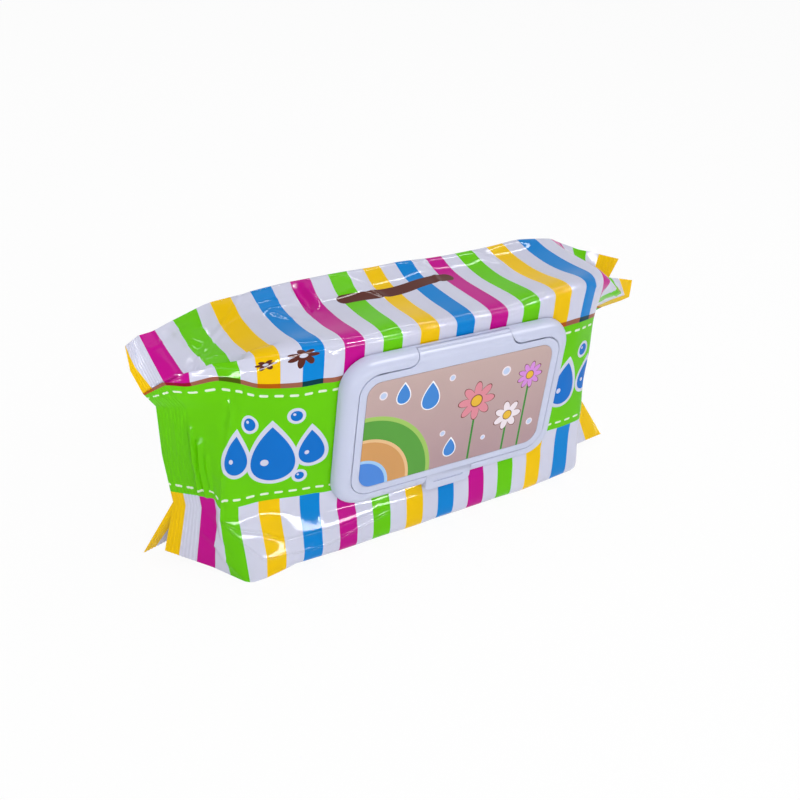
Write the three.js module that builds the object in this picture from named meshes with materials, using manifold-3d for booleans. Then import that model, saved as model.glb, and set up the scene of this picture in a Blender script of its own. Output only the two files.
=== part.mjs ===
// Soft pack of wet wipes with a moulded flip lid, standing on its long narrow side.
// Millimetres, +Z up. The pack's length runs along +X, the lid faces -Y and the pack rests on z = 0.
import * as THREE from "three";
import { mergeVertices } from "three/addons/utils/BufferGeometryUtils.js";
import Module from "manifold-3d";

// Film pouch
const BODY_LENGTH = 188; // between the folds at the two ends of the filled body
const BODY_HEIGHT = 107;
const BODY_DEPTH = 52;
const TOP_FOLD_RADIUS = 9;
const BOTTOM_FOLD_RADIUS = 8;
const END_SHOULDER = 10; // stretch of the filled body that already rounds in towards an end
const END_TAPER = 15; // from the end fold out to the crimp
const CRIMP_WIDTH = 13;
const CRIMP_THICKNESS = 1.4;
const EAR_THICKNESS = 0.6; // two layers of film at the tip of a gusset ear
const EAR_SPREAD = 7; // how far the tip of each ear stands off the crimp's middle plane
const SHOULDER_SOFTNESS = 0.4; // share of the way from shoulder to crimp that is rounded
const EAR_SOFTNESS = 0.5; // share of the crimp's width over which the ears bend apart
const END_DROP = 2; // how far the ears' tips lie below the top of the body
const END_LIFT = 4; // how far they lie above its bottom
const LAP_WIDTH = 14; // lengthwise seal, folded flat on the back
const LAP_THICKNESS = 0.6;

// Lid, as a whole: the base and the cover share one domed outer form
const LID_WIDTH = 116;
const LID_HEIGHT = 72;
const LID_CORNER = 13.5;
const LID_RISE = 6; // from the base's underside to the cover's flat top
const LID_TOP_MARGIN = 9.5; // from the top of the pack to the lid's upper edge
const LID_WALL = 1.1;
const EDGE_HEIGHT = 0.9; // upright outer edge, before the dome starts

// Lid base
const RIM_WIDTH = 6.7; // from the base's outer edge to the cover's edge
const FLOOR_THICKNESS = 1.2;
const OPENING_WIDTH = 80;
const OPENING_HEIGHT = 38;
const OPENING_CORNER = 14;
const COLLAR_HEIGHT = 2.2; // above the floor
const NOTCH_WIDTH = 30; // finger notch in the lower edge
const NOTCH_DEPTH = 2.9;

// Cover
const COVER_CORNER = 9;
const COVER_GAP = 0.4; // between the cover and the base's rim
const HINGE_SIDE_GAP = 0.8; // the same beside the tongue, where the edge turns over the rim
const SEAT_GAP = 0.3; // between the cover's skirt and the base's floor
const TONGUE_WIDTH = 47;
const TONGUE_FILLET = 5.5;
const HINGE_RADIUS = 0.85;
const HINGE_INSET = 0.95; // hinge line to the base's upper edge
const SKIRT_TOP_CLEARANCE = 12; // no skirt this near the hinge side, so that the cover swings free
const RIB_CLEARANCE = 0.5; // sealing rib to the collar it closes over
const RIB_THICKNESS = 1;
const TAB_WIDTH = 24;
const TAB_REACH = 1.8; // beyond the base's lower edge
const TAB_THICKNESS = 1.9;
const TAB_CORNER = 2.5;
const TAB_DROP = 0.15; // tab's top below the cover's top
const GRIP_WIDTH = 16; // groove across the tab
const GRIP_HEIGHT = 1.2;
const GRIP_DEPTH = 0.5;

// Thin pieces
const LABEL_WIDTH = 95.5;
const LABEL_HEIGHT = 52;
const LABEL_CORNER = 6.5;
const LABEL_THICKNESS = 0.25;
const LABEL_CLEARANCE = 0.3; // all round in the recess
const GLUE_THICKNESS = 0.4;
const GLUE_INSET = 1.5; // from the edges of the floor
const SEAL_WIDTH = 64;
const SEAL_HEIGHT = 27;
const SEAL_CORNER = 10;
const SEAL_THICKNESS = 0.3;
const SEAL_PULL = 6; // pull tab at one end of the seal
const SEAL_PULL_WIDTH = 12;
const CONTACT_GAP = 0.1; // between faces that lie on each other

// Facets
const CORNER_STEPS = 9;
const DOME_STEPS = 7;
const FOLD_STEPS = 5;
const TAPER_STEPS = 9;
const CRIMP_STEPS = 3;
const HINGE_STEPS = 36;
const NOTCH_STEPS = 144;
const MERGE_DISTANCE = 1e-4;

// Sizes that follow from these
const COVER_WIDTH = LID_WIDTH - 2 * RIM_WIDTH;
const COVER_HEIGHT = LID_HEIGHT - 2 * RIM_WIDTH;
const LABEL_RECESS = LABEL_THICKNESS + CONTACT_GAP;
const SEAT_HEIGHT = FLOOR_THICKNESS + SEAT_GAP;
const HINGE_LINE = LID_HEIGHT / 2 - HINGE_INSET;
const HINGE_HEIGHT = SEAT_HEIGHT + HINGE_RADIUS;
const LID_STANDOFF = GLUE_THICKNESS + 2 * CONTACT_GAP; // base's underside to the film
const LID_CENTRE_HEIGHT = BODY_HEIGHT - LID_TOP_MARGIN - LID_HEIGHT / 2;
const PAST = 5; // how far a cutting body runs past what it cuts

const wasm = await Module();
wasm.setup();

function solidOf(geometry) {
  const bare = geometry.clone();
  bare.deleteAttribute("normal");
  bare.deleteAttribute("uv");
  const merged = mergeVertices(bare, MERGE_DISTANCE);
  return new wasm.Manifold(
    new wasm.Mesh({
      numProp: 3,
      vertProperties: merged.attributes.position.array,
      triVerts: merged.index.array,
    }),
  );
}

function geometryOf(solid) {
  const { vertProperties, triVerts } = solid.getMesh();
  const geometry = new THREE.BufferGeometry();
  geometry.setAttribute("position", new THREE.BufferAttribute(vertProperties, 3));
  geometry.setIndex(new THREE.BufferAttribute(triVerts, 1));
  geometry.computeVertexNormals();
  return geometry;
}

// Skins a row of loops with equal numbers of points and caps its two ends.
function skin(loops, flatten) {
  const count = loops[0].length;
  const faces = [];
  for (let loop = 0; loop + 1 < loops.length; loop++) {
    for (let step = 0; step < count; step++) {
      const a = loop * count + step;
      const b = loop * count + ((step + 1) % count);
      faces.push(a, b, b + count, a, b + count, a + count);
    }
  }
  const last = loops.length - 1;
  for (const [a, b, c] of THREE.ShapeUtils.triangulateShape(loops[0].map(flatten), [])) {
    faces.push(a, c, b);
  }
  for (const [a, b, c] of THREE.ShapeUtils.triangulateShape(loops[last].map(flatten), [])) {
    faces.push(last * count + a, last * count + b, last * count + c);
  }
  const geometry = new THREE.BufferGeometry();
  const positions = loops.flat().flatMap((point) => point.toArray());
  geometry.setAttribute("position", new THREE.Float32BufferAttribute(positions, 3));
  geometry.setIndex(faces);
  geometry.computeVertexNormals();
  return geometry;
}

// Film pouch

// Runs from 0 to 1, with a soft start over the given share of the way and straight after it.
function softRamp(way, start) {
  const t = THREE.MathUtils.clamp(way, 0, 1);
  return t < start ? (t * t) / (start * (2 - start)) : (2 * t - start) / (2 - start);
}

// One gusset fold: from the panel round the fold and on towards the valley between the two ears.
function foldPoints(panelPoint, tip, layer, valley, radius) {
  const inner = tip.clone().add(layer);
  const start = tip.clone().add(panelPoint.clone().sub(tip).setLength(radius));
  const end = inner.clone().add(valley.clone().sub(inner).setLength(radius));
  const middle = tip.clone().lerp(inner, 0.5);
  return new THREE.QuadraticBezierCurve(start, middle, end).getPoints(FOLD_STEPS);
}

// Outline of the pouch across its length: front and back panel, and a top and a bottom gusset that are flat
// over the filled body, fold in towards an end and split into two ears at the crimp.
function pouchSection(x) {
  const fromShoulder = Math.abs(x) - (BODY_LENGTH / 2 - END_SHOULDER);
  const way = THREE.MathUtils.clamp(fromShoulder / (END_SHOULDER + END_TAPER), 0, 1);
  const turnIn = softRamp(way, SHOULDER_SOFTNESS);
  const intoCrimp = Math.abs(x) - BODY_LENGTH / 2 - END_TAPER;
  const spread = EAR_SPREAD * softRamp(intoCrimp / CRIMP_WIDTH, EAR_SOFTNESS);
  const halfDepth = THREE.MathUtils.lerp(BODY_DEPTH / 2, CRIMP_THICKNESS / 2, turnIn);
  const tuck = (BODY_DEPTH / 2) * turnIn;
  const top = BODY_HEIGHT - END_DROP * way * way;
  const bottom = END_LIFT * way * way;
  const topRadius = THREE.MathUtils.lerp(TOP_FOLD_RADIUS, EAR_THICKNESS, turnIn);
  const bottomRadius = THREE.MathUtils.lerp(BOTTOM_FOLD_RADIUS, EAR_THICKNESS, turnIn);
  const upperBend = top - BODY_DEPTH / 2;
  const lowerBend = bottom + BODY_DEPTH / 2;
  const topValley = new THREE.Vector2(0, top - tuck);
  const bottomValley = new THREE.Vector2(0, bottom + tuck);
  const lapMiddle = BODY_HEIGHT / 2;
  const lapHeights = [lapMiddle - LAP_WIDTH / 2, lapMiddle + LAP_WIDTH / 2];

  const side = (sign) => {
    const layer = new THREE.Vector2(-sign * EAR_THICKNESS * turnIn, 0);
    const lower = new THREE.Vector2(sign * halfDepth, lowerBend);
    const upper = new THREE.Vector2(sign * halfDepth, upperBend);
    const lowerTip = new THREE.Vector2(sign * (halfDepth + spread), bottom);
    const upperTip = new THREE.Vector2(sign * (halfDepth + spread), top);
    return {
      lower,
      upper,
      lowerFold: foldPoints(lower, lowerTip, layer, bottomValley, bottomRadius),
      upperFold: foldPoints(upper, upperTip, layer, topValley, topRadius),
    };
  };
  const back = side(1);
  const front = side(-1);
  const lap = [
    new THREE.Vector2(halfDepth, lapHeights[0] - LAP_THICKNESS),
    new THREE.Vector2(halfDepth + LAP_THICKNESS, lapHeights[0]),
    new THREE.Vector2(halfDepth + LAP_THICKNESS, lapHeights[1]),
    new THREE.Vector2(halfDepth, lapHeights[1] + LAP_THICKNESS),
  ];
  const outline = [
    bottomValley,
    ...back.lowerFold.reverse(),
    back.lower,
    ...lap,
    back.upper,
    ...back.upperFold,
    topValley,
    ...front.upperFold.reverse(),
    front.upper,
    front.lower,
    ...front.lowerFold,
  ];
  return outline.map(({ x: y, y: z }) => new THREE.Vector3(x, y, z));
}

function pouchGeometry() {
  const shoulder = BODY_LENGTH / 2 - END_SHOULDER;
  const crimp = BODY_LENGTH / 2 + END_TAPER;
  const stations = [];
  for (let step = 0; step <= TAPER_STEPS; step++) {
    stations.push(THREE.MathUtils.lerp(shoulder, crimp, step / TAPER_STEPS));
  }
  for (let step = 1; step <= CRIMP_STEPS; step++) {
    stations.push(crimp + (CRIMP_WIDTH * step) / CRIMP_STEPS);
  }
  const mirrored = stations.map((x) => -x).reverse();
  const loops = [...mirrored, ...stations].map(pouchSection);
  return skin(loops, (point) => new THREE.Vector2(point.y, point.z));
}

// Lid. It is drawn lying flat, with its underside at z = 0, the hinge at +y and the thumb tab at -y.

function roundedLoop(halfWidth, halfHeight, corner, height) {
  const points = [];
  const quarters = [
    [1, -1],
    [1, 1],
    [-1, 1],
    [-1, -1],
  ];
  quarters.forEach(([signX, signY], quarter) => {
    for (let step = 0; step <= CORNER_STEPS; step++) {
      const angle = (quarter - 1 + step / CORNER_STEPS) * (Math.PI / 2);
      const x = signX * (halfWidth - corner) + corner * Math.cos(angle);
      const y = signY * (halfHeight - corner) + corner * Math.sin(angle);
      points.push(new THREE.Vector3(x, y, height));
    }
  });
  return points;
}

// The outer form that base and cover share, or with a wall given, the form that far inside it.
function lidDome(wall) {
  const loopAt = (inset, height) =>
    roundedLoop(LID_WIDTH / 2 - inset, LID_HEIGHT / 2 - inset, LID_CORNER - inset, height);
  const loops = [loopAt(wall, wall > 0 ? -PAST : 0)];
  for (let step = 0; step <= DOME_STEPS; step++) {
    const angle = ((step / DOME_STEPS) * Math.PI) / 2;
    const inset = wall + (RIM_WIDTH - LID_WALL) * (1 - Math.cos(angle));
    const height = EDGE_HEIGHT - wall + (LID_RISE - EDGE_HEIGHT) * Math.sin(angle);
    loops.push(loopAt(inset, height));
  }
  return solidOf(skin(loops, (point) => new THREE.Vector2(point.x, point.y)));
}

function roundedShape(width, height, corner) {
  const loop = roundedLoop(width / 2, height / 2, corner, 0);
  return new THREE.Shape(loop.map(({ x, y }) => new THREE.Vector2(x, y)));
}

function extrude(shape, from, to) {
  const geometry = new THREE.ExtrudeGeometry(shape, {
    depth: to - from,
    bevelEnabled: false,
    curveSegments: CORNER_STEPS,
  });
  return solidOf(geometry.translate(0, 0, from));
}

function box(from, to) {
  const size = to.clone().sub(from);
  const middle = from.clone().add(to).multiplyScalar(0.5);
  return solidOf(new THREE.BoxGeometry(...size.toArray()).translate(...middle.toArray()));
}

// Outline of the cover with its hinge tongue, grown outwards, by an amount of its own beside the tongue.
function coverShape(grow, hingeSideGrow, tongueEnd) {
  const halfWidth = COVER_WIDTH / 2 + grow;
  const lower = -COVER_HEIGHT / 2 - grow;
  const upper = COVER_HEIGHT / 2 + hingeSideGrow;
  const corner = COVER_CORNER + grow;
  const tongue = TONGUE_WIDTH / 2 + grow;
  const fillet = Math.min(TONGUE_FILLET, RIM_WIDTH - HINGE_INSET) - grow;
  const right = Math.PI / 2;
  const shape = new THREE.Shape();
  shape.absarc(halfWidth - corner, lower + corner, corner, -right, 0, false);
  shape.absarc(halfWidth - corner, upper - corner, corner, 0, right, false);
  shape.absarc(tongue + fillet, upper + fillet, fillet, -right, -2 * right, true);
  shape.lineTo(tongue, tongueEnd);
  shape.lineTo(-tongue, tongueEnd);
  shape.absarc(-tongue - fillet, upper + fillet, fillet, 0, -right, true);
  shape.absarc(corner - halfWidth, upper - corner, corner, right, 2 * right, false);
  shape.absarc(corner - halfWidth, lower + corner, corner, 2 * right, 3 * right, false);
  return shape;
}

// Outline of the thumb tab, from inside the cover's lower edge out to its tip.
function tabShape(grow, tip) {
  const half = TAB_WIDTH / 2 + grow;
  const corner = TAB_CORNER + grow;
  const root = LID_WALL - COVER_HEIGHT / 2;
  const right = Math.PI / 2;
  const shape = new THREE.Shape();
  shape.absarc(corner - half, corner - tip, corner, 2 * right, 3 * right, false);
  shape.absarc(half - corner, corner - tip, corner, 3 * right, 4 * right, false);
  shape.lineTo(half, root);
  shape.lineTo(-half, root);
  return shape;
}

// Finger notch in the base's lower edge: a shallow arc of the stated width and depth.
function notchShape(grow) {
  const radius = (NOTCH_WIDTH ** 2 / 4 + NOTCH_DEPTH ** 2) / (2 * NOTCH_DEPTH);
  const shape = new THREE.Shape();
  shape.absarc(0, NOTCH_DEPTH - LID_HEIGHT / 2 - radius, radius + grow, 0, 2 * Math.PI, false);
  return shape;
}

function notchSolid(grow) {
  const geometry = new THREE.ExtrudeGeometry(notchShape(grow), {
    depth: LID_RISE + 2 * PAST,
    bevelEnabled: false,
    curveSegments: NOTCH_STEPS,
  });
  return solidOf(geometry.translate(0, 0, -PAST));
}

function lidBaseGeometry() {
  const tabSlotTip = LID_HEIGHT / 2 + TAB_REACH + PAST;
  const pastEdge = LID_HEIGHT / 2 + PAST;
  const above = LID_RISE + PAST;
  const recess = (wall) => {
    const seat = FLOOR_THICKNESS - wall * PAST;
    const coverSeat = coverShape(COVER_GAP + wall, HINGE_SIDE_GAP + wall, pastEdge);
    const tabSlot = tabShape(COVER_GAP + wall, tabSlotTip);
    return extrude(coverSeat, seat, above).add(extrude(tabSlot, seat, above));
  };
  const hollow = lidDome(LID_WALL).subtract(recess(LID_WALL)).subtract(notchSolid(LID_WALL));
  const collarTop = FLOOR_THICKNESS + COLLAR_HEIGHT;
  const collar = roundedShape(
    OPENING_WIDTH + 2 * LID_WALL,
    OPENING_HEIGHT + 2 * LID_WALL,
    OPENING_CORNER + LID_WALL,
  );
  const opening = roundedShape(OPENING_WIDTH, OPENING_HEIGHT, OPENING_CORNER);
  return geometryOf(
    lidDome(0)
      .subtract(recess(0))
      .subtract(hollow)
      .subtract(notchSolid(0))
      .add(extrude(collar, FLOOR_THICKNESS / 2, collarTop))
      .subtract(extrude(opening, -PAST, above)),
  );
}

function flipLidGeometry() {
  const below = -PAST;
  const above = LID_RISE + PAST;
  const outer = lidDome(0).intersect(extrude(coverShape(0, 0, HINGE_LINE), SEAT_HEIGHT, above));
  const inset = extrude(coverShape(-LID_WALL, -LID_WALL, HINGE_LINE + PAST), below, above);
  const skirtless = box(
    new THREE.Vector3(-LID_WIDTH, COVER_HEIGHT / 2 - SKIRT_TOP_CLEARANCE, below),
    new THREE.Vector3(LID_WIDTH, LID_HEIGHT, above),
  );
  const hollow = lidDome(LID_WALL).intersect(inset.add(skirtless));

  const ribInner = 2 * (LID_WALL + RIB_CLEARANCE);
  const ribOuter = ribInner + 2 * RIB_THICKNESS;
  const ribTop = LID_RISE - LID_WALL / 2;
  const ribCorner = OPENING_CORNER + ribInner / 2;
  const rib = extrude(
    roundedShape(OPENING_WIDTH + ribOuter, OPENING_HEIGHT + ribOuter, ribCorner + RIB_THICKNESS),
    SEAT_HEIGHT,
    ribTop,
  ).subtract(
    extrude(
      roundedShape(OPENING_WIDTH + ribInner, OPENING_HEIGHT + ribInner, ribCorner),
      below,
      LID_RISE - LABEL_RECESS - LID_WALL,
    ),
  );

  const hinge = new THREE.CylinderGeometry(HINGE_RADIUS, HINGE_RADIUS, TONGUE_WIDTH, HINGE_STEPS);
  hinge.rotateZ(Math.PI / 2).translate(0, HINGE_LINE, HINGE_HEIGHT);

  const tabTop = LID_RISE - TAB_DROP;
  const tabTip = LID_HEIGHT / 2 + TAB_REACH;
  const tab = extrude(tabShape(0, tabTip), tabTop - TAB_THICKNESS, tabTop);
  const gripMiddle = -(COVER_HEIGHT / 2 + tabTip) / 2;
  const grip = solidOf(
    new THREE.ExtrudeGeometry(roundedShape(GRIP_WIDTH, GRIP_HEIGHT, GRIP_HEIGHT / 2), {
      depth: LID_RISE,
      bevelEnabled: false,
    }).translate(0, gripMiddle, tabTop - GRIP_DEPTH),
  );

  const labelRecess = roundedShape(
    LABEL_WIDTH + 2 * LABEL_CLEARANCE,
    LABEL_HEIGHT + 2 * LABEL_CLEARANCE,
    LABEL_CORNER + LABEL_CLEARANCE,
  );
  return geometryOf(
    outer
      .subtract(hollow)
      .add(rib)
      .add(solidOf(hinge))
      .add(tab)
      .subtract(grip)
      .subtract(extrude(labelRecess, LID_RISE - LABEL_RECESS, above)),
  );
}

function labelGeometry() {
  const label = roundedShape(LABEL_WIDTH, LABEL_HEIGHT, LABEL_CORNER);
  const underside = LID_RISE - LABEL_THICKNESS;
  return geometryOf(extrude(label, underside, LID_RISE));
}

function adhesiveGeometry() {
  const outer = roundedShape(COVER_WIDTH, COVER_HEIGHT, COVER_CORNER);
  const hole = roundedShape(
    OPENING_WIDTH + 2 * GLUE_INSET,
    OPENING_HEIGHT + 2 * GLUE_INSET,
    OPENING_CORNER + GLUE_INSET,
  );
  const [from, to] = [-CONTACT_GAP - GLUE_THICKNESS, -CONTACT_GAP];
  return geometryOf(extrude(outer, from, to).subtract(extrude(hole, from - PAST, to + PAST)));
}

function peelSealGeometry() {
  const from = CONTACT_GAP - LID_STANDOFF;
  const to = from + SEAL_THICKNESS;
  const pull = roundedShape(2 * (SEAL_PULL + SEAL_CORNER), SEAL_PULL_WIDTH, SEAL_PULL_WIDTH / 2);
  const pullSolid = extrude(pull, from, to).translate([SEAL_WIDTH / 2 - SEAL_CORNER, 0, 0]);
  return geometryOf(extrude(roundedShape(SEAL_WIDTH, SEAL_HEIGHT, SEAL_CORNER), from, to).add(pullSolid));
}

// Assembly

function piece(name, geometry, color, roughness) {
  const material = new THREE.MeshStandardMaterial({ color, roughness, metalness: 0 });
  const mesh = new THREE.Mesh(geometry, material);
  mesh.name = name;
  return mesh;
}

const lid = new THREE.Group();
lid.position.set(0, -BODY_DEPTH / 2 - LID_STANDOFF, LID_CENTRE_HEIGHT);
lid.rotation.x = Math.PI / 2;
lid.add(
  piece("lid_adhesive", adhesiveGeometry(), 0xd8cfae, 0.6),
  piece("peel_seal", peelSealGeometry(), 0xe8eaf2, 0.35),
  piece("lid_base", lidBaseGeometry(), 0xe4e7f3, 0.4),
  piece("flip_lid", flipLidGeometry(), 0xe8ebf6, 0.4),
  piece("lid_label", labelGeometry(), 0xd8c0b2, 0.3),
);

const pack = new THREE.Group();
pack.add(piece("film_pouch", pouchGeometry(), 0x74cc2a, 0.25), lid);

export default pack;
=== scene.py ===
import math

import bpy
import numpy as np
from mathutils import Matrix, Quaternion, Vector


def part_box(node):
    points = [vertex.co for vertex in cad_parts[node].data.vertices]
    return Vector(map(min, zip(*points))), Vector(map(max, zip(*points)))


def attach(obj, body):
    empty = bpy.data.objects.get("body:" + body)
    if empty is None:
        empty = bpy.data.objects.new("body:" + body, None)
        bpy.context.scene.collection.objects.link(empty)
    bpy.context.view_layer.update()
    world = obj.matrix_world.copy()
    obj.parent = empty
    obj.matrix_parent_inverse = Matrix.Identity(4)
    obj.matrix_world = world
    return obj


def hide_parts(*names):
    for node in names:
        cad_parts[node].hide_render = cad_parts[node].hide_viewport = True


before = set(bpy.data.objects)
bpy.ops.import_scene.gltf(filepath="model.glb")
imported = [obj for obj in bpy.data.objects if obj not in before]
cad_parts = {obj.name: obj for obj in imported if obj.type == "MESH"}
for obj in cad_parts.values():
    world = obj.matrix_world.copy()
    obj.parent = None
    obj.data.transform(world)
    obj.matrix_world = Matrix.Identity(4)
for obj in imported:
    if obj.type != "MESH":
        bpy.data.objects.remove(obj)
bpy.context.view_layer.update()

MM = 0.001
bpy.ops.object.select_all(action="DESELECT")


# Film pouch
# A sleeve of printed laminate film round a stack of folded wipes, lapped along its back. Both ends are
# tucked into gussets, heat-sealed between ribbed jaws and cut, so that four ears stand out at each. It is
# lofted here along the film: each station of the film's length has one ring of points round its girth.

POUCH_DEPTH = 52
half_depth = POUCH_DEPTH / 2
LEFT_CUT, RIGHT_CUT = 138, 133     # cut edges of the film, along its length from the middle of the lid
SEAL_WIDTH = 15
SEAL_RIB_PITCH = 1.7
SEAL_RIB_HEIGHT = 0.14
FILM_LAYERS = 0.5         # the layers of a sealed end, drawn thick enough to show

# Points of one ring: name, place along the film's girth, number of steps to the next point.
# F is the front, B the back, T the top gusset and D the bottom one; the girth starts at the front's foot.
RING = [
    ("F_fold_low", 0, 8),
    ("F_bulge", 12, 12),
    ("F_low", 27, 16),
    ("F_mid", 50, 20),
    ("F_high", 76, 12),
    ("F_seal", 91, 8),
    ("F_crease", 98, 12),
    ("F_fold_top", 112, 5),
    ("T_tuck", 117, 7),
    ("T_front", 126, 8),
    ("T_valley", 138, 8),
    ("T_back", 150, 12),
    ("B_fold_top", 164, 12),
    ("B_crease", 178, 8),
    ("B_seal", 185, 12),
    ("B_high", 200, 20),
    ("B_mid", 226, 16),
    ("B_low", 249, 20),
    ("B_fold_low", 276, 20),
    ("D_valley", 302, 20),
]
GIRTH = 328
PLACES = {name: place for name, place, _ in RING}

# The filled body, station by station along the film: how far the front falls back beside the lid and bulges
# at the floor, how far the film sags on the front, the heights of the top's front fold, sunken middle and
# back fold, and how far the front and the back of the top are pulled along the pack.
BODY_STATIONS = [-88, -71, -53, -27, 0, 33, 68]
FRONT_FALL = [6.2, 2.0, 0.3, 0, 0, 0, 0.3]
FLOOR_BULGE = [6, 6.5, 6.5, 6, 5.5, 4.5, 3.5]
FILM_SAG = [2.2, 2.4, 1.0, 0, 0, 0, -1]
TOP_FRONT = [99.5, 104.8, 105.8, 105.6, 105.6, 107, 111.5]
TOP_MIDDLE = [96.5, 101.7, 101.6, 103.2, 104.2, 104.6, 107]
TOP_BACK = [103.5, 107, 108.5, 109.5, 110, 109, 111.5]
FRONT_PULL = [-1.3, -1.6, -2.5, -2.0, -1.0, -0.8, -0.3]
BACK_PULL = [-2.5, -2.3, -1.0, 0, -1.5, -3.3, -2.5]
PANEL_HEIGHTS = {"low": 27, "mid": 50, "high": 76, "seal": 91, "crease": 98}     # on the front and the back
FALL_SHARES = {"low": 0.8, "mid": 1, "high": 1.2, "seal": 1.4, "crease": 1.6, "fold_top": 2}
BULGE_HEIGHT, BULGE_LEAN = 11.5, 1.2
BACK_BULGE = 1
TUCK_DEPTH = 5
TOP_FRONT_LINE, TOP_VALLEY_LINE, TOP_BACK_LINE = -10, 3, 16     # lines along the top, by their depth
TOP_BACK_RISE = 0.4

# Ends: each point of the ring at the shoulder, at the end fold, on the flap, where the seal starts if that
# lies off the straight line, and at the cut edge of the film. The left end stands out, with its front ear
# low and its back ear leaning back; the right end's ears are splayed.
LEFT_STATIONS = [-97, -106, -115, -LEFT_CUT]
LEFT_END = {
    "F_fold_low": [(-96.2, -31.5, 0.3), (-101.5, -23, 0.5), (-106, -16.5, 1), (-122, -2.5, 5)],
    "F_bulge": [(-97, -27.5, 12.5), (-104, -21.3, 12.5), (-105.6, -16.7, 14), (-120.3, -2.5, 15)],
    "F_low": [(-98, -21.5, 28), (-105.2, -18.7, 27.6), (-105, -16.3, 31.5), (-118, -2.5, 29)],
    "F_mid": [(-98, -20, 51), (-104.6, -18.8, 53), (-108, -14.3, 54.3), (-121.6, 0, 53)],
    "F_high": [(-96.5, -19, 77.5), (-102.5, -16.5, 79), (-109, -12, 79), (-125, -3.4, 79)],
    "F_seal": [(-96, -16.5, 92), (-104, -13, 93.6), (-115.9, -11.2, 91.6), (-124.2, -9.1, 93.2),
               (-131.2, -7, 88.2)],
    "F_crease": [(-96, -15.5, 95.5), (-104.8, -11.5, 96.3), (-116.1, -10.8, 96.4), (-123.2, -8.7, 91.6),
                 (-130.5, -6.3, 87.1)],
    "F_fold_top": [(-96.3, -13, 98.5), (-105.5, -9.5, 97.5), (-115.9, -10.3, 92.5), (-119.8, -8.6, 86.8),
                   (-128.4, -5, 84.1)],
    "T_tuck": [(-96.3, -10.5, 93.5), (-105.3, -7.8, 93), (-115.8, -10, 91), (-119.4, -8.4, 86.1),
               (-128.1, -4.8, 83.6)],
    "T_front": [(-96.3, -2, 96), (-106.5, -4, 95), (-116, -9.6, 92.5), (-121.6, -8.4, 89.6),
                (-129.6, -5.7, 85.9)],
    "T_valley": [(-96.3, 10, 95), (-107.5, 4, 96), (-117, -8, 94.5), (-131.2, -6.6, 88.3)],
    "T_back": [(-96.5, 20, 97), (-108.7, 11.5, 99.5), (-119.5, 0.8, 100), (-125.7, -0.6, 99),
               (-134.2, -2.3, 96.3)],
    "B_fold_top": [(-96.5, 25.5, 102), (-111.3, 15.7, 104), (-121.4, 8.8, 105), (-127.3, 7.5, 105.1),
                   (-134.9, 0.5, 105.6)],
    "B_crease": [(-94, 24, 95), (-101, 15, 96), (-112, 7, 97), (-125.1, 0.5, 98.6), (-134, -1.5, 96.3)],
    "B_seal": [(-92.5, 23, 90), (-99, 14.5, 91), (-106, 5, 91.5), (-131, -6.3, 88.2)],
    "B_high": [(-92, 22, 76), (-98.5, 14.5, 76), (-104.5, 5, 76), (-124.8, -2.9, 79)],
    "B_mid": [(-92, 22, 50), (-98.5, 14.5, 50), (-104.5, 5, 50), (-121.4, 0.5, 53)],
    "B_low": [(-92, 22, 27), (-98.5, 14.5, 27), (-104.5, 5, 27), (-117.8, -2, 29.5)],
    "B_fold_low": [(-94, 23, 0.3), (-101, 16, 0.8), (-108, 10, 1.2), (-129.6, 3, 2)],
    "D_valley": [(-96, -3, 0.3), (-100, -4, 4), (-104, -5, 11), (-117.9, -2.2, 29.9)],
}
RIGHT_STATIONS = [85, 94, 106, RIGHT_CUT]
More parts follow.
